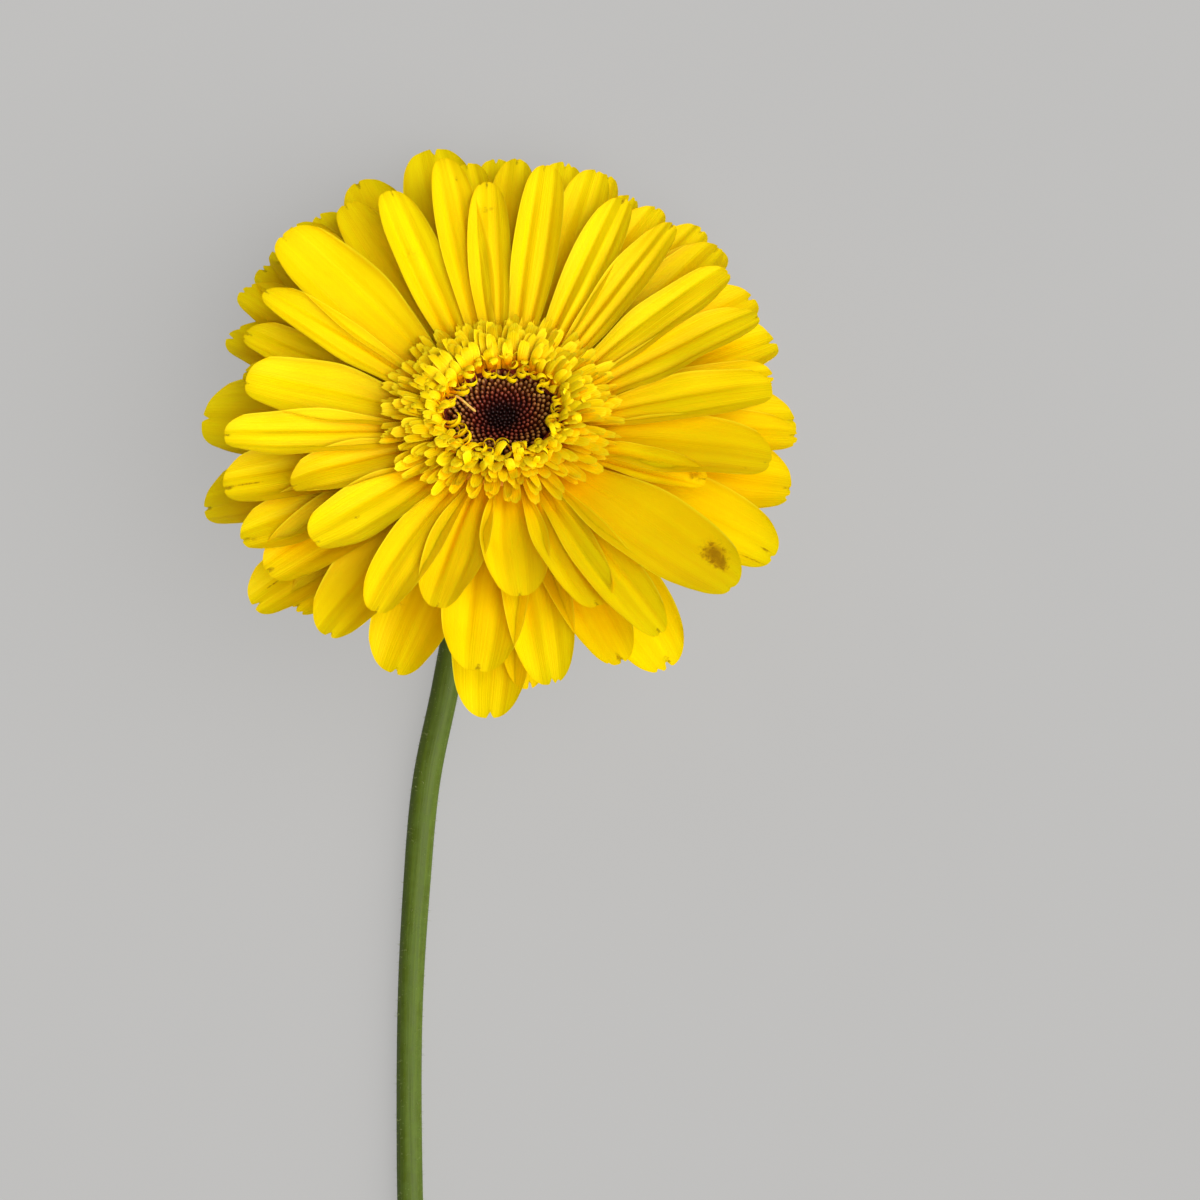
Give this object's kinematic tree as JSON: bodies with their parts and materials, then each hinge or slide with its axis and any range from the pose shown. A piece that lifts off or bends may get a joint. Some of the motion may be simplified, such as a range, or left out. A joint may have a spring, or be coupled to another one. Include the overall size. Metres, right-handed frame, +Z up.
{
  "type": "gerbera daisy flower",
  "caption": "Cut yellow gerbera daisy lying on a surface: layered ray petals, a collar of small florets, a dark disc, a green bract cup and a curved bare stem",
  "frame": {"origin": "middle of the underside of the lying flower's box, on the surface that it lies on", "axes": "+Y runs along the stem toward the head, +X is to the right of the head seen from above with the stem toward the viewer, +Z is up"},
  "size_m": [0.1131, 0.2931, 0.0699],
  "materials": {
    "petal": "satin",
    "floret": "satin",
    "disc": "matte",
    "bract": "satin",
    "stem": "satin"
  },
  "bodies": {
    "root": {"ray_petals": "petal", "trans_florets": "floret", "disc": "disc", "involucre": "bract", "stem": "stem"}
  },
  "joints": []
}
